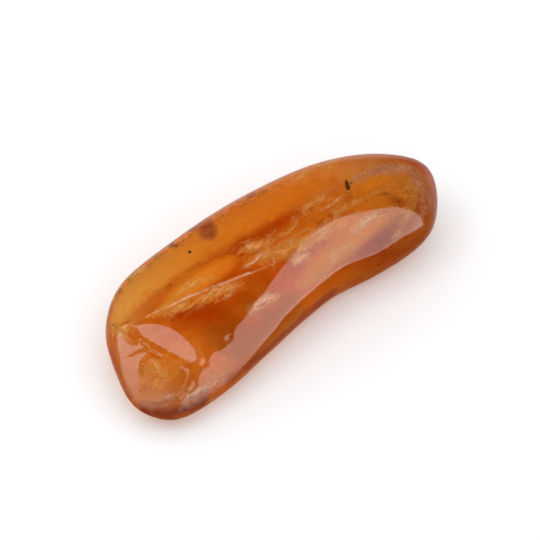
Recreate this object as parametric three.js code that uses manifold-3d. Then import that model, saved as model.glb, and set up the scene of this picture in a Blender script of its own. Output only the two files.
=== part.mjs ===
// A polished, kidney-shaped amber pebble with one small dark insect sealed inside it.
// Millimetres, +Z up. The pebble lies on its flat underside, centred on the origin, with its length along X:
// the thick round end points to +X, the thinner blunt end to -X, and its hollow flank faces -Y.
import * as THREE from "three";
import { mergeVertices } from "three/addons/utils/BufferGeometryUtils.js";
import Module from "manifold-3d";

const wasm = await Module();
wasm.setup();

// Pebble: the girdle is the closed line round its widest place, as (x, y, height).
// It runs anticlockwise, seen from above, from the round end.
const GIRDLE = [
  [28.0, -2.4, 7.0],
  [24.6, 2.4, 7.2],
  [16.8, 6.6, 7.5],
  [5.2, 9.5, 7.0],
  [-6.8, 10.6, 6.5],
  [-17.0, 10.0, 6.0],
  [-22.4, 6.3, 5.0],
  [-25.1, 1.2, 4.0],
  [-26.7, -5.4, 3.2],
  [-24.0, -10.0, 3.0],
  [-15.8, -10.8, 3.2],
  [-7.0, -9.6, 3.8],
  [1.4, -8.2, 4.2],
  [8.2, -7.8, 4.8],
  [15.2, -9.2, 5.5],
  [23.4, -9.0, 6.2],
];
const CROWN = { blunt: 10.6, middle: 13.2, round: 15.0 }; // height of the back of the pebble along its length
const CROWN_REACH = 19; // distance from the middle at which the end heights are reached
const CROWN_OVERLAP = 4; // how far past the middle each end's own height begins to tell
const OVAL_HALF = [27, 10.5]; // towards the middle the outline loses its hollow flank and becomes this oval
const CROWN_POWER = { blunt: 1.9, round: 2.3 }; // 2 is an ellipse from girdle to crown, more is fuller
const KEEL_POWER = 2.6; // the same, from girdle to underside
const KEEL_DEPTH = 1.4; // how far the rounded underside would reach below the flat it was ground to
const PEBBLE_DETAIL = 15;

// The hollow flank is ground to an even slope in degrees. Its foot runs along a line given by its y
// at the middle and how that leans with x; it bends in round the hollow, and lifts over the round end.
const FLANK = { slope: 59, foot: 5.1, climb: 0.075, line: -10.3, lean: 0.03, blend: 0.8 };
const HOLLOW = { at: 6, depth: 1.3, width: 9 };
const FOOT_LIFT = { from: 8, to: 24, height: 3 };

// A flat polished on top of the blunt end: a point on it, and its slope and heading in degrees.
const END_FLAT = { through: [-23.6, 0, 6.05], slope: 27.5, heading: 194 };

// Insect: one dark body about as long as a pinhead, wings and legs folded against it.
const INSECT_PLACE = [15.2, 0.9, 8.6]; // the middle of its thorax
const INSECT_HEADING = THREE.MathUtils.degToRad(58); // from +X, seen from above
const INSECT_PITCH = THREE.MathUtils.degToRad(-14);
const BODY = {
  abdomen: { at: [-0.34, 0, 0], half: [0.4, 0.27, 0.23], detail: 4 },
  thorax: { at: [0.14, 0, 0.03], half: [0.24, 0.23, 0.22], detail: 3 },
  head: { at: [0.46, 0, 0], half: [0.15, 0.19, 0.15], detail: 3 },
};
const EYE = { at: [0.5, 0.13, 0.04], radius: 0.075, detail: 1 };
const WING = { at: [-0.3, 0.1, 0.215], half: [0.46, 0.15, 0.03], splay: 0.16, detail: 3 };
const LEG_ROOTS = [0.26, 0.14, 0.02]; // along the thorax, front to hind
const LEG_SWEEP = [0.24, -0.06, -0.34]; // how far each foot lies ahead of its root
const LEG = { hip: [0.12, -0.06], knee: [0.33, -0.1], foot: [0.25, -0.26], radius: 0.028 };
const ANTENNA = {
  root: [0.54, 0.07, 0.06],
  middle: [0.72, 0.13, 0.02],
  tip: [0.8, 0.2, -0.1],
  radius: 0.018,
};
const LIMB = { sides: 6, steps: 4 };

// Parting: the pebble opens on a level plane through the insect, which lies in an egg-shaped pocket.
const PARTING_HEIGHT = INSECT_PLACE[2];
const POCKET_HALF = [1.25, 0.72, 0.62];
const POCKET_CENTRE_AHEAD = 0.02;
const POCKET_DETAIL = 5;
const CUTTER_SIZE = 100;

const AMBER = new THREE.MeshStandardMaterial({
  name: "amber",
  color: 0xc0610f,
  roughness: 0.06,
  metalness: 0,
  transparent: true,
  opacity: 0.6,
});
const CHITIN = new THREE.MeshStandardMaterial({
  name: "chitin",
  color: 0x241710,
  roughness: 0.45,
  metalness: 0,
});

// A closed geometry as a solid that can be joined and cut.
function solidOf(geometry) {
  const bare = geometry.clone();
  bare.deleteAttribute("normal");
  bare.deleteAttribute("uv");
  const merged = mergeVertices(bare);
  return new wasm.Manifold(
    new wasm.Mesh({
      numProp: 3,
      vertProperties: merged.attributes.position.array,
      triVerts: new Uint32Array(merged.index.array),
    }),
  );
}

function geometryOf(solid) {
  const { vertProperties, triVerts } = solid.getMesh();
  const geometry = new THREE.BufferGeometry();
  geometry.setAttribute("position", new THREE.BufferAttribute(vertProperties, 3));
  geometry.setIndex(new THREE.BufferAttribute(triVerts, 1));
  geometry.computeVertexNormals();
  return geometry;
}

function namedMesh(name, solid, material) {
  const mesh = new THREE.Mesh(geometryOf(solid), material);
  mesh.name = name;
  return mesh;
}

function ellipsoid(half, detail) {
  return new THREE.IcosahedronGeometry(1, detail).scale(...half);
}

// A thin limb along a curve through three points.
function limb(points, radius) {
  const section = new THREE.Shape(
    Array.from({ length: LIMB.sides }, (_, i) => {
      const turn = (2 * Math.PI * i) / LIMB.sides;
      return new THREE.Vector2(radius * Math.cos(turn), radius * Math.sin(turn));
    }),
  );
  const path = new THREE.CatmullRomCurve3(points.map((p) => new THREE.Vector3(...p)));
  return new THREE.ExtrudeGeometry(section, { extrudePath: path, steps: LIMB.steps, bevelEnabled: false });
}

// Height of the pebble's back above the floor, at a distance along its length.
function crownHeight(x) {
  const towardRound = THREE.MathUtils.smoothstep(x, -CROWN_OVERLAP, CROWN_REACH);
  const towardBlunt = THREE.MathUtils.smoothstep(-x, -CROWN_OVERLAP, CROWN_REACH);
  return (
    CROWN.middle +
    (CROWN.round - CROWN.middle) * towardRound +
    (CROWN.blunt - CROWN.middle) * towardBlunt
  );
}

// Fullness of the rise from girdle to crown, at a distance along the pebble's length.
function crownPower(x) {
  const towardRound = THREE.MathUtils.smoothstep(x, -CROWN_REACH, 0);
  return THREE.MathUtils.lerp(CROWN_POWER.blunt, CROWN_POWER.round, towardRound);
}

// Height of the ground flank over a point; it passes above the crown everywhere but along the front.
function flankHeight(x, y) {
  const bend = HOLLOW.depth * Math.exp(-(((x - HOLLOW.at) / HOLLOW.width) ** 2));
  const line = FLANK.line + FLANK.lean * x + bend;
  const lift = FOOT_LIFT.height * THREE.MathUtils.smoothstep(x, FOOT_LIFT.from, FOOT_LIFT.to);
  const rise = Math.tan(THREE.MathUtils.degToRad(FLANK.slope));
  return FLANK.foot + FLANK.climb * x + lift + (y - line) * rise;
}

// The lower of two heights, rounded where they cross.
function softMin(a, b, width) {
  const share = THREE.MathUtils.clamp(0.5 + (b - a) / (2 * width), 0, 1);
  return THREE.MathUtils.lerp(b, a, share) - width * share * (1 - share);
}

// The whole pebble: a sphere whose equator is drawn out to the girdle and whose poles become crown and keel.
function pebble() {
  const girdle = new THREE.CatmullRomCurve3(
    GIRDLE.map((p) => new THREE.Vector3(...p)),
    true,
    "centripetal",
  );
  const geometry = new THREE.IcosahedronGeometry(1, PEBBLE_DETAIL);
  const position = geometry.attributes.position;
  for (let i = 0; i < position.count; i++) {
    const side = position.getZ(i);
    const reach = Math.min(1, Math.hypot(position.getX(i), position.getY(i)));
    const turn = Math.atan2(position.getY(i), position.getX(i)) / (2 * Math.PI);
    const rim = girdle.getPointAt((turn + 1) % 1);
    const ovalShare = 1 / Math.hypot(rim.x / OVAL_HALF[0], rim.y / OVAL_HALF[1]);
    const drawn = reach * THREE.MathUtils.lerp(ovalShare, 1, reach);
    const x = rim.x * drawn;
    const y = rim.y * drawn;
    const power = side > 0 ? crownPower(x) : KEEL_POWER;
    const swell = (1 - reach ** power) ** (1 / power);
    const pole = side > 0 ? crownHeight(x) : -KEEL_DEPTH;
    const height = rim.z + (pole - rim.z) * swell;
    position.setXYZ(i, x, y, side > 0 ? softMin(height, flankHeight(x, y), FLANK.blend) : height);
  }
  geometry.computeBoundingBox();
  const middle = geometry.boundingBox.getCenter(new THREE.Vector3());
  return solidOf(geometry.translate(-middle.x, -middle.y, 0));
}

// A block as wide as any cut needs, from one height up to another.
function slab(from, to) {
  const block = new THREE.BoxGeometry(CUTTER_SIZE, CUTTER_SIZE, to - from);
  return solidOf(block.translate(0, 0, (from + to) / 2));
}

// What polishing the flat on the blunt end takes away.
function endFlatCutter() {
  const block = new THREE.BoxGeometry(CUTTER_SIZE, CUTTER_SIZE, CUTTER_SIZE).translate(0, 0, CUTTER_SIZE / 2);
  block.rotateY(THREE.MathUtils.degToRad(END_FLAT.slope)).rotateZ(THREE.MathUtils.degToRad(END_FLAT.heading));
  return solidOf(block.translate(...END_FLAT.through));
}

function insectBody() {
  const pieces = Object.values(BODY).map(({ at, half, detail }) => ellipsoid(half, detail).translate(...at));
  for (const side of [-1, 1]) {
    const across = ([x, y, z]) => [x, side * y, z];
    pieces.push(ellipsoid([EYE.radius, EYE.radius, EYE.radius], EYE.detail).translate(...across(EYE.at)));
    pieces.push(ellipsoid(WING.half, WING.detail).rotateZ(-side * WING.splay).translate(...across(WING.at)));
    const antenna = [ANTENNA.root, ANTENNA.middle, ANTENNA.tip].map(across);
    pieces.push(limb(antenna, ANTENNA.radius));
    LEG_ROOTS.forEach((root, i) => {
      const knee = root + LEG_SWEEP[i] / 2;
      const foot = root + LEG_SWEEP[i];
      const points = [[root, ...LEG.hip], [knee, ...LEG.knee], [foot, ...LEG.foot]].map(across);
      pieces.push(limb(points, LEG.radius));
    });
  }
  return pieces.map(solidOf).reduce((joined, piece) => joined.add(piece));
}

function placeAsInsect(object) {
  object.position.set(...INSECT_PLACE);
  object.rotation.set(0, INSECT_PITCH, INSECT_HEADING, "ZYX");
  return object;
}

const insectFrame = placeAsInsect(new THREE.Group());
insectFrame.add(namedMesh("insect", insectBody(), CHITIN));
insectFrame.updateMatrixWorld(true);

const egg = ellipsoid(POCKET_HALF, POCKET_DETAIL).translate(POCKET_CENTRE_AHEAD, 0, 0);
const pocket = solidOf(egg.applyMatrix4(insectFrame.matrixWorld));
const hollowed = pebble().subtract(endFlatCutter()).subtract(pocket);
const upper = hollowed.intersect(slab(PARTING_HEIGHT, CUTTER_SIZE));
const lower = hollowed.intersect(slab(0, PARTING_HEIGHT));

const amberPebble = new THREE.Group();
amberPebble.add(namedMesh("amber_upper", upper, AMBER));
amberPebble.add(namedMesh("amber_lower", lower, AMBER));
amberPebble.add(insectFrame);

export default amberPebble;
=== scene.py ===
"""A polished amber pebble with a tiny insect sealed in it, on a pale floor in soft light."""

import math

import bmesh
import bpy
import numpy as np
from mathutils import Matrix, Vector, noise
from mathutils.bvhtree import BVHTree


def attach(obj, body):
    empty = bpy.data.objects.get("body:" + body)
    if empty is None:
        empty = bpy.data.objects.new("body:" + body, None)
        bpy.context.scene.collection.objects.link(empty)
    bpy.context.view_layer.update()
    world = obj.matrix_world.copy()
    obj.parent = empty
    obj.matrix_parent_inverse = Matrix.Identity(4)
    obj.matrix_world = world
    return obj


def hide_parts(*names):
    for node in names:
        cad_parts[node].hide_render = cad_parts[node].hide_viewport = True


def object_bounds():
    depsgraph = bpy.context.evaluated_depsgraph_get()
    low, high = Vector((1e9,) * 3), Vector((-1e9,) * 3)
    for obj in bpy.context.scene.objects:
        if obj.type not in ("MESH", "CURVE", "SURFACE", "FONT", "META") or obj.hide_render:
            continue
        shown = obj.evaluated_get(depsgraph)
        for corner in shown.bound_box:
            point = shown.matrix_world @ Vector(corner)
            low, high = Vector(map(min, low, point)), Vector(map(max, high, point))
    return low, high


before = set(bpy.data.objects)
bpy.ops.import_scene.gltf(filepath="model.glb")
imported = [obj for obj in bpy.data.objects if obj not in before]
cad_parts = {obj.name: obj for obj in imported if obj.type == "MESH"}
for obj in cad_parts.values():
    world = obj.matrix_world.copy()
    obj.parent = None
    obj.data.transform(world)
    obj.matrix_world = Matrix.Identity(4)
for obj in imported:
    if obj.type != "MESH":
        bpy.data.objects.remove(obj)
CAD_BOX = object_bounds()

MM = 0.001

# The photograph's view: a long lens from the front left, well above. Angles are in degrees.
FRAME_PIXELS = 540
VIEW_AZIMUTH = -40
VIEW_ELEVATION = 52
PIXEL = 0.137 * MM  # size of one pixel at the pebble
ORIGIN_PIXEL = (265.0, 294.5)  # where the part's origin falls in the frame
LENS = 1000.0
SENSOR = 36.0
CLIP_START, CLIP_END = 0.01, 10.0


def bearing(azimuth, elevation):
    """A direction by degrees to the right, round from the camera's side, and above the floor."""
    turn = math.radians(VIEW_AZIMUTH) + math.radians(azimuth)
    rise = math.radians(elevation)
    level = math.cos(rise)
    return Vector((math.sin(turn) * level, -math.cos(turn) * level, math.sin(rise)))


VIEW_BACK = bearing(0, VIEW_ELEVATION)
VIEW_RIGHT = bearing(90, 0)
VIEW_UP = VIEW_BACK.cross(VIEW_RIGHT)

AMBER_IOR = 1.54


def link(obj):
    bpy.context.scene.collection.objects.link(obj)
    return obj


def sight(pixel):
    """Where a pixel of the frame lies on the plane through the origin that faces the camera."""
    across = (pixel[0] - ORIGIN_PIXEL[0]) * PIXEL
    up = (ORIGIN_PIXEL[1] - pixel[1]) * PIXEL
    return VIEW_RIGHT * across + VIEW_UP * up


def add_camera():
    data = bpy.data.cameras.new("camera")
    data.sensor_width = SENSOR
    data.lens = LENS
    camera = link(bpy.data.objects.new("camera", data))
    middle = sight((FRAME_PIXELS / 2, FRAME_PIXELS / 2))
    distance = FRAME_PIXELS * PIXEL * LENS / SENSOR
    camera.location = middle + VIEW_BACK * distance
    camera.rotation_mode = "QUATERNION"
    camera.rotation_quaternion = (-VIEW_BACK).to_track_quat("-Z", "Y")
    data.clip_start = CLIP_START
    data.clip_end = CLIP_END
    bpy.context.scene.camera = camera


# The pebble's surface

CAST_SUBDIVISIONS = 7
CAST_REACH = 0.75  # half the axes of the sphere that is drawn in, as shares of the pebble's size
SURFACE_STEP = 0.2 * MM
SMOOTHING_STEPS = (0.5, -0.52)  # in and out again, so that the pebble keeps its size
SMOOTHING_ROUNDS = {"cast": 36, "even": 10, "carved": 3}


def outside_of(nodes):
    """A search tree of the halves' faces."""
    points = []
    faces = []
    for node in nodes:
        start = len(points)
        points += [v.co.copy() for v in node.data.vertices]
        faces += [[start + i for i in p.vertices] for p in node.data.polygons]
    return BVHTree.FromPolygons(points, faces)


def cast_pebble(tree, box):
    """A closed mesh over both halves: the points of a sphere, drawn in along rays to the pebble."""
    low, high = box
    middle = (low + high) / 2
    reach = (high - low) * CAST_REACH
    mesh = bmesh.new()
    bmesh.ops.create_icosphere(mesh, subdivisions=CAST_SUBDIVISIONS, radius=1.0)
    for vert in mesh.verts:
        start = middle + Vector(a * b for a, b in zip(vert.co, reach))
        vert.co = tree.ray_cast(start, middle - start)[0] or tree.find_nearest(start)[0]
    data = bpy.data.meshes.new("cast")
    mesh.to_mesh(data)
    mesh.free()
    return data


def points_of(data):
    points = np.empty(len(data.vertices) * 3)
    data.vertices.foreach_get("co", points)
    return points.reshape(-1, 3)


def set_points(data, points):
    """Moves the points of a mesh, but none of them below the floor."""
    points[:, 2] = np.maximum(points[:, 2], 0.0)
    data.vertices.foreach_set("co", points.ravel())
    data.update()


def smooth(data, rounds):
    """Takes facets out of a surface."""
    edges = np.empty(len(data.edges) * 2, dtype=int)
    data.edges.foreach_get("vertices", edges)
    ends = edges.reshape(-1, 2)
    ends = np.concatenate((ends, ends[:, ::-1]))
    count = np.bincount(ends[:, 0], minlength=len(data.vertices))
    points = points_of(data)
    for _ in range(rounds):
        for step in SMOOTHING_STEPS:
            near = [np.bincount(ends[:, 0], points[ends[:, 1], axis]) / count for axis in range(3)]
            points = points + step * (np.stack(near, axis=1) - points)
    set_points(data, points)


def even_mesh(data, step):
    """The same surface again in small faces of one size."""
    coarse = link(bpy.data.objects.new("coarse", data))
    modifier = coarse.modifiers.new("even", "REMESH")
    modifier.mode = "VOXEL"
    modifier.voxel_size = step
    ready = coarse.evaluated_get(bpy.context.evaluated_depsgraph_get())
    fine = bpy.data.meshes.new_from_object(ready)
    bpy.data.objects.remove(coarse)
    bpy.data.meshes.remove(data)
    return fine


# Its low relief, placed by pixels of the frame, with heights and lengths in millimetres

UNDULATION = {6.0: 0.03, 2.4: 0.015}  # height of the waves by their length
POLISHED_OFF = 0.8  # share of the waves that a flat has lost
TURNED_AWAY = 0.2  # cosine to the view under which the marks fade out

END_FLAT = {"through": (-23.6, 0.0, 6.05), "slope": 27.5, "heading": 194.0}  # at the blunt end
FLAT_LIMIT = 0.25  # the most that is filled or taken off to make the end flat
FLAT_RIM = 5.0  # width of its soft edge, in pixels
FLAT_OUTLINES = [
    [
        (132, 328), (142, 320), (167, 322), (187, 334), (199, 344),
        (206, 356), (203, 366), (193, 367), (172, 357), (140, 340),
    ],
    [
        (112, 324), (134, 318), (144, 340), (154, 347), (142, 354),
        (143, 376), (143, 393), (133, 391), (120, 371), (113, 349),
    ],
]

CHIP_RIM = 2.6  # width of a chip's edge, in pixels
SHORTEST_RISE = 0.1  # in millimetres
CHIPS = [
    {
        "outline": [
            (138, 332), (142, 335), (157, 344), (173, 353),
            (202, 367), (192, 374), (165, 361), (141, 344),
        ],
        "towards": (-0.45, 0.89), "slope": 0.1, "reach": 1.4,
    },
    {
        "outline": [(122, 330), (131, 325), (138, 327), (142, 336), (137, 345), (128, 342)],
        "towards": (-0.84, 0.54), "slope": 0.12, "reach": 2.2,
    },
    {
        "outline": [(119, 360), (139, 350), (153, 346), (154, 358), (138, 364)],
        "towards": (-0.3, 0.95), "slope": 0.15, "reach": 0.9,
    },
    {
        "outline": [
            (141, 402), (141, 362), (150, 352), (165, 357),
            (190, 370), (200, 374), (198, 390), (160, 404),
        ],
        "towards": (-0.97, 0.25), "slope": 0.065, "reach": 7.5,
    },
]

CRAZED_EDGES = [
    # line, half width in pixels, height and grain
    ([(146, 405), (176, 398), (208, 386), (230, 370)], 9, 0.08, 0.6),
    ([(200, 380), (218, 358), (236, 334)], 13, 0.16, 1.3),
    ([(178, 406), (205, 394), (226, 380)], 12, 0.12, 0.8),
]


def pixels_of(points):
    """Where points show in the photograph's frame."""
    across = points @ np.array(VIEW_RIGHT) / PIXEL
    up = points @ np.array(VIEW_UP) / PIXEL
    return np.stack((ORIGIN_PIXEL[0] + across, ORIGIN_PIXEL[1] - up), axis=1)


def line_distance(pixels, line):
    """How far each pixel is from a line of straight stretches."""
    nearest = np.full(len(pixels), np.inf)
    for start, end in zip(line[:-1], line[1:]):
        run = np.subtract(end, start)
        share = np.clip((pixels - start) @ run / (run @ run), 0, 1)
        apart = np.linalg.norm(pixels - start - share[:, None] * run, axis=1)
        nearest = np.minimum(nearest, apart)
    return nearest


def within(pixels, outline):
    """Which pixels lie inside a closed outline."""
    inside = np.zeros(len(pixels), dtype=bool)
    for (ax, ay), (bx, by) in zip(outline, outline[1:] + outline[:1]):
        if ay != by:
            crosses = (ay > pixels[:, 1]) != (by > pixels[:, 1])
            inside ^= crosses & (pixels[:, 0] < ax + (pixels[:, 1] - ay) * (bx - ax) / (by - ay))
    return inside


def soft_within(pixels, outline, rim):
    """1 inside a closed outline and 0 outside, with a rise as wide as the rim between them."""
    rise = np.clip(line_distance(pixels, outline + outline[:1]) / rim, 0, 1)
    return np.where(within(pixels, outline), rise, 0.0)


def noise_over(points, size):
    return np.array([noise.noise(Vector(p) / size) for p in points])


def flats(points, pixels):
    """What each point lacks to lie on the flat at the blunt end, and how flat it should be."""
    slope, heading = math.radians(END_FLAT["slope"]), math.radians(END_FLAT["heading"])
    level = (math.sin(slope) * math.cos(heading), math.sin(slope) * math.sin(heading))
    across = np.array((*level, math.cos(slope)))
    missing = (np.array(END_FLAT["through"]) - points / MM) @ across
    share = np.maximum(*[soft_within(pixels, outline, FLAT_RIM) for outline in FLAT_OUTLINES])
    return np.clip(missing, -FLAT_LIMIT, FLAT_LIMIT) * share, share


def chip(pixels, outline, towards, slope, reach):
    """A chip that starts level with the surface, falls evenly over its reach and then comes up."""
    ends = np.array(outline) @ towards * PIXEL / MM
    fall = pixels @ towards * PIXEL / MM - min(ends)
    rest = max(np.ptp(ends) - reach, SHORTEST_RISE)
    depth = slope * np.minimum(fall, reach) * np.clip(1 - (fall - reach) / rest, 0, 1)
    return -depth * soft_within(pixels, outline, CHIP_RIM)


def relief(points, normals):
    """Height of the low relief over each point of the surface, in millimetres."""
    pixels = pixels_of(points)
    marks = np.zeros(len(points))
    for mark in CHIPS:
        marks += chip(pixels, **mark)
    for line, half_width, height, grain in CRAZED_EDGES:
        crazed = np.clip(2 - 2 * line_distance(pixels, line) / half_width, 0, 1)
        marks += crazed * height * noise_over(points, grain * MM)
    facing = np.clip(normals @ np.array(VIEW_BACK) / TURNED_AWAY, 0, 1)
    waves = sum(height * noise_over(points, length * MM) for length, height in UNDULATION.items())
    filled, flat = flats(points, pixels)
    return (marks + filled) * facing + waves * (1 - POLISHED_OFF * flat)


def carve(data):
    points = points_of(data)
    normals = np.empty(len(points) * 3)
    data.vertex_normals.foreach_get("vector", normals)
    normals = normals.reshape(-1, 3)
    set_points(data, points + normals * relief(points, normals)[:, None] * MM)


def add_amber(halves):
    cast = cast_pebble(outside_of(halves), CAD_BOX)
    smooth(cast, SMOOTHING_ROUNDS["cast"])
    data = even_mesh(cast, SURFACE_STEP)
    smooth(data, SMOOTHING_ROUNDS["even"])
    carve(data)
    smooth(data, SMOOTHING_ROUNDS["carved"])
    data.name = "amber"
    data.shade_smooth()
    return link(bpy.data.objects.new("amber", data))


# What lies inside it

MIDDLE_PIXEL = (270, 285)  # well inside the outline
DRAW_IN_STEPS = 60
NEAR_SKIN = 0.15 * MM  # clear amber that stays between an inclusion and the wall
FAR_SKIN = 0.3 * MM
PAST_WALL = 0.01 * MM  # where the search for the far wall starts


class Inside:
    """Finds places in the amber that show at given pixels, once its surface has bent the light."""

    def __init__(self, data):
        self.data = data
        faces = [list(p.vertices) for p in data.polygons]
        self.tree = BVHTree.FromPolygons([v.co for v in data.vertices], faces)

    def entry(self, pixel):
        """Where the sight line meets the amber. A pixel past the rim is drawn in until it does."""
        for share in np.linspace(0, 1, DRAW_IN_STEPS):
            drawn_in = (1 - share) * np.array(pixel) + share * np.array(MIDDLE_PIXEL)
            place, _, face, _ = self.tree.ray_cast(sight(drawn_in) + VIEW_BACK, -VIEW_BACK)
            if place:
                return place, face

    def line(self, pixel):
        """The sight line in the amber: where it starts, which way it runs and how far."""
        place, face = self.entry(pixel)
        corners = self.data.polygons[face].vertices
        normal = sum((self.data.vertices[i].normal for i in corners), Vector()).normalized()
        cosine = VIEW_BACK.dot(normal)
        bent = math.sqrt(1 - (1 - cosine**2) / AMBER_IOR**2)
        run = -VIEW_BACK / AMBER_IOR + normal * (cosine / AMBER_IOR - bent)
        end, _, _, room = self.tree.ray_cast(place + run * PAST_WALL, run)
        return place, run, max(room - FAR_SKIN, 0.0) if end else 0.0

    def at(self, pixel, depth):
        """The point so deep along the sight line, or as deep as the amber allows."""
        place, run, room = self.line(pixel)
        return place + run * min(max(depth, NEAR_SKIN), room)

    def level(self, pixel, height):
        """The point at which the sight line comes down to a height above the floor."""
        place, run, room = self.line(pixel)
        return place + run * min(max((height - place.z) / run.z, NEAR_SKIN), room)

    def far(self, pixel):
        """Where the sight line leaves the amber again."""
        return self.at(pixel, math.inf)


# Flakes: line of pixels, half width in pixels, depth in millimetres. For the two kinds of glow the
# last number is a height above the floor instead. A row's number is the seed of its shape.
# Glows: pale sheets low in the resin that stand in for light coming through from behind, painted
# light.
GLOWS = [
    (
        [
            (114, 338), (124, 306), (142, 284), (172, 262),
            (210, 238), (250, 216), (300, 193), (340, 176),
        ],
        22, 3.0,
    ),
    ([(160, 312), (200, 280), (240, 256)], 15, 2.4),
    ([(346, 196), (380, 182), (406, 188), (414, 206)], 20, 4.0),
    ([(296, 290), (322, 264), (350, 241), (398, 206)], 17, 5.0),
]
# Gold glows: golden sheets deep in the resin under the gold veils. Their colour is the resin's
# gold, brightened as light coming through would make it: partly painted light.
GOLD_GLOWS = [
    ([(238, 262), (275, 250), (305, 230), (330, 208), (348, 194)], 18, 9.8),
    ([(150, 318), (185, 300), (240, 284)], 9, 7.5),
    ([(368, 195), (396, 186), (412, 194), (409, 212), (397, 238)], 7, 10.5),
]
GOLD_VEILS = [
    ([(240, 268), (275, 254), (300, 244), (325, 230), (348, 200)], 14, 1.4),
    ([(250, 262), (285, 250), (318, 236), (335, 215)], 11, 0.7),
    ([(230, 253), (248, 247), (272, 238), (300, 222)], 8, 0.5),
    ([(290, 222), (312, 204), (336, 190)], 8, 0.7),
    ([(155, 320), (200, 300), (250, 282)], 10, 1.0),
    ([(205, 296), (232, 286), (250, 290)], 7, 0.5),
    ([(168, 301), (195, 283), (218, 276)], 7, 0.6),
    ([(150, 358), (162, 374), (152, 396)], 9, 1.2),
    ([(335, 216), (370, 194), (403, 188), (412, 198), (403, 214), (390, 244)], 6, 1.0),
    ([(385, 190), (405, 186), (412, 200)], 5, 0.6),
    ([(392, 244), (402, 226)], 5, 0.5),
    ([(306, 172), (340, 162)], 8, 0.5),
    ([(288, 181), (318, 169)], 6, 0.6),
    ([(128, 278), (150, 264)], 4, 0.5),
]
CREAM_VEILS = [
    ([(246, 316), (262, 302), (284, 294)], 11, 0.6),
    ([(328, 268), (336, 252), (350, 246), (352, 262)], 10, 0.6),
    ([(346, 240), (362, 224), (392, 208)], 9, 0.6),
    ([(290, 266), (312, 252)], 8, 0.7),
]
PALE_VEILS = [
    ([(140, 320), (175, 303), (210, 288), (245, 275), (272, 265)], 2.4, 0.5),
    ([(272, 252), (275, 273)], 1.8, 0.5),
    ([(318, 214), (330, 205), (349, 192)], 2.4, 0.7),
    ([(241, 268), (254, 262), (262, 254), (270, 256)], 2.0, 0.5),
]
CRAZED_VEILS = [
    ([(346, 185), (377, 171), (405, 171), (419, 183), (425, 202), (419, 222)], 9, 0.5),
    ([(350, 180), (380, 169), (408, 172)], 6, 1.0),
    ([(140, 405), (176, 397), (208, 386), (236, 368)], 8, 0.4),
]
BROWN_VEILS = [
    ([(199, 219), (207, 228), (213, 243)], 13, 1.0),
    ([(186, 232), (200, 226)], 4, 0.6),
    ([(244, 199), (258, 192)], 4, 0.6),
]
FLECKS = [
    ([(188, 251), (192, 253)], 1.4, 1.0),
    ([(350, 182), (352, 184)], 1.0, 4.0),
]

# Flakes are this thick to either side of their middle, and crumpled by this much, in millimetres.
FLAKE_THICKNESS = 0.1
FLAKE_CRUMPLE = 0.2
FLAKE_RAGGED = 0.3  # how far the edge waves in and out, as a share of the width
CRUMPLE_WAVE, EDGE_WAVE = 11, 9  # length of those waves, in pixels
EDGE_SHIFT = 40  # keeps the waves of the two edges apart, in pixels
CRUMPLE_SEED = 3  # keeps crumple and edge apart
SEED_STEP = 7.31
STEP_PIXELS, FEWEST_STEPS = 4, 5  # along the line
COLUMN_PIXELS, FEWEST_COLUMNS = 3, 2  # to either side of it
END_ROUNDING = 2.5
COVER_ROUNDING = 1.5
MERGE_DISTANCE = 0.002 * MM


def smooth_line(points, count):
    """Points spread over a smooth curve through the given ones."""
    given = np.array(points, dtype=float)
    given = np.vstack((2 * given[0] - given[1], given, 2 * given[-1] - given[-2]))
    place = np.linspace(0, len(points) - 1, count)
    start = np.minimum(place.astype(int), len(points) - 2)
    f = (place - start)[:, None]
    a, b, c, d = (given[start + i] for i in range(4))
    square = 2 * a - 5 * b + 4 * c - d
    cube = 3 * b - a - 3 * c + d
    return 0.5 * (2 * b + (c - a) * f + square * f**2 + cube * f**3)


def wobble(place, size, seed):
    """Smooth noise from -1 to 1 over pixels, changing over about the given size."""
    return noise.noise(Vector((place[0] / size, place[1] / size, seed * SEED_STEP)))


def add_grid(mesh, verts, width, turned):
    """Adds the faces between points that stand in rows of the given width."""
    for start in range(0, len(verts) - width, width):
        for i in range(start, start + width - 1):
            corners = [verts[i], verts[i + 1], verts[i + width + 1], verts[i + width]]
            mesh.faces.new(corners[::-1] if turned else corners)


def add_flake(mesh, locate, line, half_width, depth, seed):
    """Adds a thin closed flake that follows a line of pixels, at a depth in millimetres."""
    steps = max(FEWEST_STEPS, int(np.abs(np.diff(np.array(line), axis=0)).sum() / STEP_PIXELS))
    columns = max(FEWEST_COLUMNS, int(half_width / COLUMN_PIXELS))
    middle = smooth_line(line, steps)
    ahead = np.gradient(middle, axis=0)
    ahead /= np.linalg.norm(ahead, axis=1)[:, None]
    cover = mesh.verts.layers.float.get("cover") or mesh.verts.layers.float.new("cover")
    layers = {1: [], -1: []}
    for i in range(steps):
        along = 2 * i / (steps - 1) - 1
        taper = math.sqrt(max(0.0, 1 - abs(along) ** END_ROUNDING))
        for j in range(-columns, columns + 1):
            share = j / columns
            edge = 1 + FLAKE_RAGGED * wobble(middle[i] + share * EDGE_SHIFT, EDGE_WAVE, seed)
            offset = share * half_width * taper * edge
            pixel = (middle[i][0] - ahead[i][1] * offset, middle[i][1] + ahead[i][0] * offset)
            level = depth + FLAKE_CRUMPLE * wobble(pixel, CRUMPLE_WAVE, seed + CRUMPLE_SEED)
            swell = FLAKE_THICKNESS * taper * (1 - share**2)
            for side, verts in layers.items():
                vert = mesh.verts.new(locate(pixel, (level + side * swell) * MM))
                vert[cover] = taper * (1 - abs(share) ** COVER_ROUNDING)
                verts.append(vert)
    for side, verts in layers.items():
        add_grid(mesh, verts, 2 * columns + 1, turned=side < 0)


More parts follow.
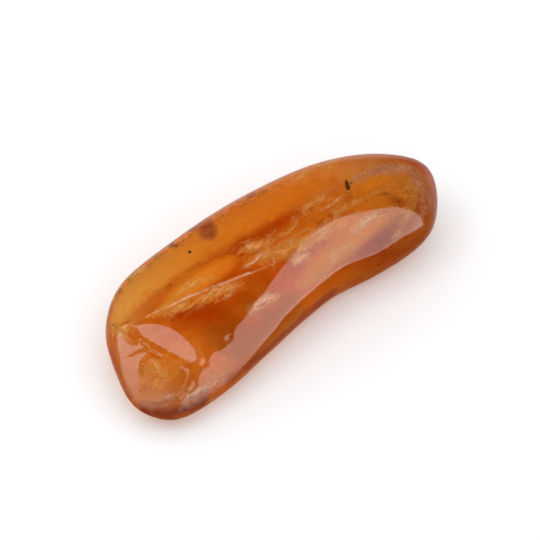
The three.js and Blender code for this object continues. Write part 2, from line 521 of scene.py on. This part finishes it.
def add_flakes(name, rows, material, locate):
    """One piece of all the flakes of a kind, each closed at its rim."""
    mesh = bmesh.new()
    for seed, (line, half_width, depth) in enumerate(rows):
        add_flake(mesh, locate, line, half_width, depth, seed)
    bmesh.ops.remove_doubles(mesh, verts=mesh.verts, dist=MERGE_DISTANCE)
    bmesh.ops.recalc_face_normals(mesh, faces=mesh.faces)
    data = bpy.data.meshes.new(name)
    mesh.to_mesh(data)
    mesh.free()
    data.shade_smooth()
    data.materials.append(material)
    return link(bpy.data.objects.new(name, data))


# Materials

STREAK_NOISE = {"Detail": 8.0, "Roughness": 0.65, "Distortion": 0.6}
STRETCH = (0.35, 1.0, 1.0)  # streaks and cracks are long in the pebble's length


def rgba(colour):
    return colour if isinstance(colour, bpy.types.NodeSocket) else (*colour, 1)


class Graph:
    """The shader nodes of a material or the world, and short ways to add to them."""

    def __init__(self, tree):
        self.nodes = tree.nodes
        self.links = tree.links

    def set(self, node, inputs):
        """Links inputs of a node to other nodes' outputs, or sets them to plain values."""
        for key, value in inputs.items():
            if isinstance(value, bpy.types.NodeSocket):
                self.links.new(value, node.inputs[key])
            else:
                node.inputs[key].default_value = value

    def add(self, kind, inputs, **settings):
        node = self.nodes.new("ShaderNode" + kind)
        for name, value in settings.items():
            setattr(node, name, value)
        self.set(node, inputs)
        return node

    def place(self):
        """The place in the part's frame."""
        return self.add("TexCoord", {}).outputs["Object"]

    def height(self, place):
        return self.add("SeparateXYZ", {0: place}).outputs["Z"]

    def math(self, operation, *values, clamp=False):
        inputs = dict(enumerate(values))
        return self.add("Math", inputs, operation=operation, use_clamp=clamp).outputs["Value"]

    def vector(self, operation, *values, output="Vector"):
        inputs = dict(enumerate(values))
        return self.add("VectorMath", inputs, operation=operation).outputs[output]

    def product(self, first, second):
        return self.math("MULTIPLY", first, second, clamp=True)

    def ramp(self, value, start, end, low, high, shape="LINEAR"):
        """A value carried evenly from one range to another, and held at its ends."""
        inputs = {"Value": value, "From Min": start, "From Max": end, "To Min": low, "To Max": high}
        return self.add("MapRange", inputs, interpolation_type=shape).outputs["Result"]

    def spread(self, value, reach=0.15):
        """Noise, which keeps near its middle, spread from 0 to 1."""
        return self.ramp(value, 0.5 - reach, 0.5 + reach, 0, 1)

    def mix(self, share, first, second, kind="MIX"):
        inputs = {"Factor": share, "A": rgba(first), "B": rgba(second)}
        return self.add("Mix", inputs, data_type="RGBA", blend_type=kind).outputs["Result"]

    def tinted(self, share, colour, tint):
        return self.mix(share, colour, tint, "MULTIPLY")

    def noise(self, place, scale, output="Fac", inputs=None):
        inputs = {"Vector": place, "Scale": scale, **(inputs or {})}
        return self.add("TexNoise", inputs).outputs[output]

    def streaks(self, scale):
        stretched = self.vector("MULTIPLY", self.place(), STRETCH)
        return self.noise(stretched, scale, inputs=STREAK_NOISE)

    def warped_place(self, scale, amount):
        """The place, shifted about by noise so that round patches turn ragged."""
        place = self.place()
        shift = self.noise(place, scale, "Color")
        moved = self.vector("MULTIPLY_ADD", shift, (amount,) * 3, place)
        return self.vector("SUBTRACT", moved, (amount / 2,) * 3)

    def stretch_distance(self, place, start, end):
        """How far a place is from a straight stretch."""
        run = end - start
        offset = self.vector("SUBTRACT", place, start)
        along = self.vector("DOT_PRODUCT", offset, run / run.length_squared, output="Value")
        share = self.ramp(along, 0, 1, 0, 1)
        reached = self.add("VectorMath", {0: run, "Scale": share}, operation="SCALE")
        return self.vector("DISTANCE", offset, reached.outputs["Vector"], output="Value")

    def distance(self, place, points):
        """How far a place is from a line through points."""
        nearest, *others = [
            self.stretch_distance(place, start, end) for start, end in zip(points[:-1], points[1:])
        ]
        for apart in others:
            nearest = self.math("MINIMUM", nearest, apart)
        return nearest


def new_material(name):
    material = bpy.data.materials.new(name)
    material.use_nodes = True
    graph = Graph(material.node_tree)
    return material, graph, graph.nodes["Principled BSDF"]


# Amber: plain clear resin that takes out blue, and some green, along the way.
AMBER_DENSITY = 170.0
AMBER_COLOUR = (0.98, 0.65, 0.0)
UNDERSIDE = (1.5 * MM, 6.0 * MM)  # the polish begins between these heights
UNDERSIDE_ROUGHNESS, POLISH_ROUGHNESS = 0.7, 0.03

STAINS_AND_SHADE = [
    # stains in the resin and patches of painted shade: line of pixels at which each shows, on the
    # near or the far wall, radius in millimetres, and the colour that is let through
    # stains in the resin
    ([(184, 309), (203, 306)], "far", 3.5, (0.8, 0.48, 0.3)),
    ([(212, 318), (226, 322)], "far", 3.0, (0.95, 0.85, 0.7)),
    # painted shade over the front left
    ([(238, 348), (262, 330), (290, 308)], "far", 3.2, (0.58, 0.7, 0.8)),
    # a stain along a dark streak
    ([(240, 245), (275, 226), (305, 209), (335, 192)], "far", 2.3, (0.92, 0.78, 0.55)),
    # painted shade at the thick right end
    ([(420, 232), (400, 252), (380, 262)], "far", 4.0, (0.85, 0.5, 0.3)),
    # painted shade along the lower edges, and a grey painted shade along the left rim
    ([(145, 410), (165, 413), (185, 409), (203, 402)], "near", 1.9, (0.22, 0.11, 0.11)),
    ([(230, 378), (265, 351), (296, 323), (332, 293)], "near", 1.2, (0.45, 0.25, 0.25)),
    ([(110, 292), (106, 322), (112, 360), (128, 398)], "near", 0.9, (0.55, 0.53, 0.55)),
]
STAIN_AND_SHADE_CORE = 0.3  # share of its radius over which a stain, or a patch of painted shade, is full
STAIN_AND_SHADE_GRAIN = 500
STAIN_AND_SHADE_SHIFT = 1.5 * MM  # how far its edge strays
# Painted shade: the resin's colour darkens towards the front and the thick end, away from the
# light.
SHADE_DIRECTION = (0.25, -1.0, 0.0)
SHADE_REACH = (-1.0 * MM, 10.0 * MM)  # where the shade begins and is full, that way from the origin
SHADE_TINT = (0.6, 0.5, 0.45)
MOTTLES = {260: (0.88, 0.72, 0.4), 900: (0.92, 0.76, 0.5)}  # tint of cloudy stains by fineness
MOTTLE_SOFTNESS = 0.08
MOTTLED_UP_TO = (3.0 * MM, 5.0 * MM)


def shade(graph):
    """Painted shade: resin coloured darker towards the front and the thick end."""
    across = graph.vector("DOT_PRODUCT", graph.place(), SHADE_DIRECTION, output="Value")
    return graph.mix(graph.ramp(across, *SHADE_REACH, 0, 1), (1, 1, 1), SHADE_TINT)


def mottle(graph, colour):
    """Cloudy stains over the underside, which show through the clear resin."""
    low_down = graph.ramp(graph.height(graph.place()), *MOTTLED_UP_TO, 1, 0)
    for scale, tint in MOTTLES.items():
        clouds = graph.spread(graph.streaks(scale), MOTTLE_SOFTNESS)
        colour = graph.tinted(graph.product(clouds, low_down), colour, tint)
    return colour


def stain_and_shade(graph, colour, inside):
    """Ragged stains and painted shade in the skin, along lines on its near or its far side."""
    place = graph.warped_place(STAIN_AND_SHADE_GRAIN, STAIN_AND_SHADE_SHIFT)
    for pixels, wall, radius, tint in STAINS_AND_SHADE:
        points = [inside.far(pixel) if wall == "far" else inside.at(pixel, 0) for pixel in pixels]
        apart = graph.distance(place, points)
        share = graph.ramp(apart, radius * MM, radius * MM * STAIN_AND_SHADE_CORE, 0, 1)
        colour = graph.tinted(share, colour, tint)
    return colour


def amber_material(inside):
    material, graph, shader = new_material("amber")
    colour = stain_and_shade(graph, mottle(graph, shade(graph)), inside)
    height = graph.height(graph.place())
    roughness = graph.ramp(height, *UNDERSIDE, UNDERSIDE_ROUGHNESS, POLISH_ROUGHNESS)
    graph.set(shader, {"Base Color": colour, "Roughness": roughness})
    graph.set(shader, {"Transmission Weight": 1.0, "IOR": AMBER_IOR})
    resin = {"Color": rgba(AMBER_COLOUR), "Density": AMBER_DENSITY}
    volume = graph.add("VolumeAbsorption", resin)
    graph.set(graph.nodes["Material Output"], {"Volume": volume.outputs[0]})
    return material


# How each kind of flake looks: its two colours, its alpha where it is thin and where it is dense,
# how fine its streaks are, how sharp they are, how far they fray its edge, how soft that edge is,
# and the fineness, alpha and colour of the cracks in it.
LOOKS = {
    # painted light: the glows' near-white colour stands in for light coming through the resin
    "glow": {
        "colours": ((1.0, 0.95, 0.5), (1.0, 1.0, 0.7)),
        "alpha": (0.5, 1.0), "scale": 150, "fray": 0.0, "soft": 1.0,
    },
    # partly painted light: the gold zone's colour, brightened as light coming through would make it
    "gold_glow": {
        "colours": ((0.9, 0.48, 0.08), (1.0, 0.65, 0.15)),
        "alpha": (0.2, 0.8), "scale": 420, "fray": 0.0, "soft": 1.0,
    },
    "gold": {
        "colours": ((0.78, 0.35, 0.05), (1.0, 0.57, 0.13)),
        "alpha": (0, 0.7), "scale": 600, "sharp": 0.08,
        "cracks": (900, 0.35, (1.0, 0.72, 0.38)),
    },
    "cream": {
        "colours": ((1.0, 0.6, 0.3), (1.0, 0.78, 0.5)),
        "alpha": (0, 0.55), "scale": 550, "sharp": 0.1, "fray": 0.3, "soft": 0.8,
        "cracks": (1300, 0.3, (1.0, 0.85, 0.65)),
    },
    "pale": {
        "colours": ((0.95, 0.52, 0.27), (1.0, 0.72, 0.48)),
        "alpha": (0, 0.65), "scale": 1100, "sharp": 0.08,
        "cracks": (1500, 0.5, (1.0, 0.8, 0.6)),
    },
    "crazed": {
        "colours": ((0.6, 0.29, 0.18), (0.9, 0.52, 0.34)),
        "alpha": (0, 0.75), "scale": 1700, "sharp": 0.06,
        "cracks": (2200, 0.6, (1.0, 0.7, 0.52)),
    },
    "brown": {
        "colours": ((0.36, 0.07, 0.04), (0.5, 0.13, 0.07)),
        "alpha": (0.3, 0.7), "scale": 500, "fray": 0.1, "soft": 1.0,
    },
    "dark_fleck": {
        "colours": ((0.03, 0.02, 0.01), (0.08, 0.04, 0.02)),
        "alpha": (0.9, 1.0), "scale": 1500, "fray": 0.0, "soft": 0.5,
    },
}
COLOUR_FINENESS = 1.7  # the two colours change so much faster than the alpha
FRAYED_AT = 0.93  # cover at which a middling streak is half dense
CRACK_WIDTH = 0.12
CRACK_SHIFT = 0.8  # how far cracks stray, as a share of their spacing
CRACK_PATCHES = 0.3  # cracks come in patches, so much coarser than they are
VEIL_ROUGHNESS = 0.5


def crack_lines(graph, scale):
    """Fine lines between ragged cells, in patches."""
    place = graph.vector("MULTIPLY", graph.warped_place(scale, CRACK_SHIFT / scale), STRETCH)
    cells = graph.add("TexVoronoi", {"Vector": place, "Scale": scale}, feature="DISTANCE_TO_EDGE")
    lines = graph.ramp(cells.outputs["Distance"], CRACK_WIDTH, 0, 0, 1)
    return graph.product(lines, graph.spread(graph.streaks(scale * CRACK_PATCHES)))


def veil_material(name, colours, alpha, scale, sharp=0.15, fray=0.25, soft=0.3, cracks=None):
    """A thin ragged layer that thins out to its edges."""
    material, graph, shader = new_material(name)
    colour = graph.mix(graph.spread(graph.streaks(scale * COLOUR_FINENESS)), *colours)
    cover = graph.add("Attribute", {}, attribute_name="cover").outputs["Fac"]
    density = graph.math("MULTIPLY_ADD", cover, fray, graph.streaks(scale))
    middle = 0.5 + fray * FRAYED_AT
    share = graph.ramp(density, middle - sharp, middle + sharp, *alpha)
    if cracks:
        fineness, crack_alpha, crack_colour = cracks
        lines = crack_lines(graph, fineness)
        colour = graph.mix(lines, colour, crack_colour)
        share = graph.math("MULTIPLY_ADD", lines, crack_alpha, share, clamp=True)
    soft_edge = graph.ramp(cover, 0.0, soft, 0, 1, "SMOOTHSTEP")
    graph.set(shader, {"Base Color": colour, "Alpha": graph.product(soft_edge, share)})
    graph.set(shader, {"Roughness": VEIL_ROUGHNESS, "Specular IOR Level": 0.0})
    return material


CHITIN_COLOURS = ((0.03, 0.022, 0.012), (0.09, 0.07, 0.035))
CHITIN_ROUGHNESS = 0.45
CHITIN_GRAIN = 4000


def chitin_material():
    material, graph, shader = new_material("chitin")
    grain = graph.noise(graph.place(), CHITIN_GRAIN, inputs={"Detail": 4.0})
    colour = graph.mix(graph.spread(grain), *CHITIN_COLOURS)
    graph.set(shader, {"Base Color": colour, "Roughness": CHITIN_ROUGHNESS})
    return material


# The studio

FLOOR_REACH = 3.0
FLOOR_DROP = 0.05 * MM
FLOOR_COLOUR = (0.83, 0.83, 0.84)
FLOOR_ROUGHNESS = 0.9
LAMP_DISTANCE = 0.5
# Panels of light: where they stand, and how wide and high they are as the pebble sees them.
RIGHT_PANEL = {"towards": bearing(57.5, 1), "angles": (46, 74), "radiance": 2.35}
LEFT_PANEL = {"towards": bearing(-84, 60), "angles": (20, 11.5), "radiance": 2.8}
SKY_STRENGTH = 1.25
WALL_TOP, WALL_FOOT = 0.05, -0.2  # sines of the heights between which the wall's grey fades in
WALL_SIDE = 0.5  # and cosine of the bearing within which it is full
WALL_GREY = 0.6
BOUNCES = 24  # clear resin and thin flakes take many
MIRROR_BOUNCES = 12
DIFFUSE_BOUNCES = 6


def add_floor():
    """A pale floor that the polish doesn't mirror."""
    size = FLOOR_REACH
    data = bpy.data.meshes.new("floor")
    corners = [(-size, -size, 0), (size, -size, 0), (size, size, 0), (-size, size, 0)]
    data.from_pydata(corners, [], [(0, 1, 2, 3)])
    floor = link(bpy.data.objects.new("floor", data))
    floor.location.z = -FLOOR_DROP
    material, graph, shader = new_material("floor")
    graph.set(shader, {"Base Color": rgba(FLOOR_COLOUR), "Roughness": FLOOR_ROUGHNESS})
    graph.set(shader, {"Specular IOR Level": 0.0})
    data.materials.append(material)
    floor.visible_glossy = False


def add_softbox(name, towards, angles, radiance):
    """A flat glowing panel that faces the pebble, so many degrees wide and high as seen from it."""
    width, height = (2 * LAMP_DISTANCE * math.tan(math.radians(angle / 2)) for angle in angles)
    data = bpy.data.lights.new(name, "AREA")
    data.shape = "RECTANGLE"
    data.size = width
    data.size_y = height
    data.energy = radiance * math.pi * width * height
    lamp = link(bpy.data.objects.new(name, data))
    lamp.location = towards * LAMP_DISTANCE
    lamp.rotation_mode = "QUATERNION"
    lamp.rotation_quaternion = (-towards).to_track_quat("-Z", "Y")
    return lamp


def wall_brightness(graph):
    """A pale wall and floor behind the pebble."""
    towards = graph.add("TexCoord", {}).outputs["Generated"]
    behind = graph.vector("DOT_PRODUCT", towards, -bearing(0, 0), output="Value")
    below = graph.ramp(graph.height(towards), WALL_TOP, WALL_FOOT, 0, WALL_GREY)
    return graph.product(below, graph.ramp(behind, 0.0, WALL_SIDE, 0, 1))


def add_world():
    """Even light from all sides. The polish mirrors the wall behind instead."""
    world = bpy.data.worlds.new("studio")
    bpy.context.scene.world = world
    world.use_nodes = True
    graph = Graph(world.node_tree)
    light = graph.nodes["Background"]
    graph.set(light, {"Color": (1, 1, 1, 1), "Strength": SKY_STRENGTH})
    wall = graph.add("Background", {"Strength": wall_brightness(graph)})
    ray = graph.add("LightPath", {}).outputs
    mirrored = graph.math("SUBTRACT", ray["Is Glossy Ray"], ray["Is Transmission Ray"], clamp=True)
    sources = {"Fac": mirrored, 1: light.outputs[0], 2: wall.outputs[0]}
    choice = graph.add("MixShader", sources)
    graph.set(graph.nodes["World Output"], {"Surface": choice.outputs[0]})


def add_lights():
    """Two panels. The one at the right is only mirrored and doesn't light the floor."""
    mirrored_only = add_softbox("right_softbox", **RIGHT_PANEL)
    mirrored_only.visible_diffuse = False
    add_softbox("left_softbox", **LEFT_PANEL)


def set_look():
    scene = bpy.context.scene
    scene.view_settings.view_transform = "Standard"
    scene.cycles.max_bounces = BOUNCES
    scene.cycles.transmission_bounces = BOUNCES
    scene.cycles.transparent_max_bounces = BOUNCES
    scene.cycles.glossy_bounces = MIRROR_BOUNCES
    scene.cycles.diffuse_bounces = DIFFUSE_BOUNCES


# The part


def dress(piece, material):
    piece.data.materials.clear()
    piece.data.materials.append(material)


def belongs(piece):
    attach(piece, "root")


def add_kind(name, rows, look, locate):
    """Adds all the flakes of a kind as one piece."""
    belongs(add_flakes(name, rows, veil_material(look, **LOOKS[look]), locate))


add_camera()
add_world()
add_lights()
add_floor()
set_look()

amber = add_amber([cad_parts["amber_upper"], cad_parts["amber_lower"]])
belongs(amber)
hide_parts("amber_upper", "amber_lower")

inside = Inside(amber.data)
dress(amber, amber_material(inside))
# painted light: pale sheets that brighten the resin as light from behind would
add_kind("glows", GLOWS, "glow", inside.level)
# partly painted light: golden sheets that brighten the gold zone
add_kind("gold_glows", GOLD_GLOWS, "gold_glow", inside.level)
add_kind("gold_veils", GOLD_VEILS, "gold", inside.at)
add_kind("cream_veils", CREAM_VEILS, "cream", inside.at)
add_kind("pale_veils", PALE_VEILS, "pale", inside.at)
add_kind("crazed_veils", CRAZED_VEILS, "crazed", inside.at)
add_kind("brown_veils", BROWN_VEILS, "brown", inside.at)
add_kind("dark_flecks", FLECKS, "dark_fleck", inside.at)

dress(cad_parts["insect"], chitin_material())
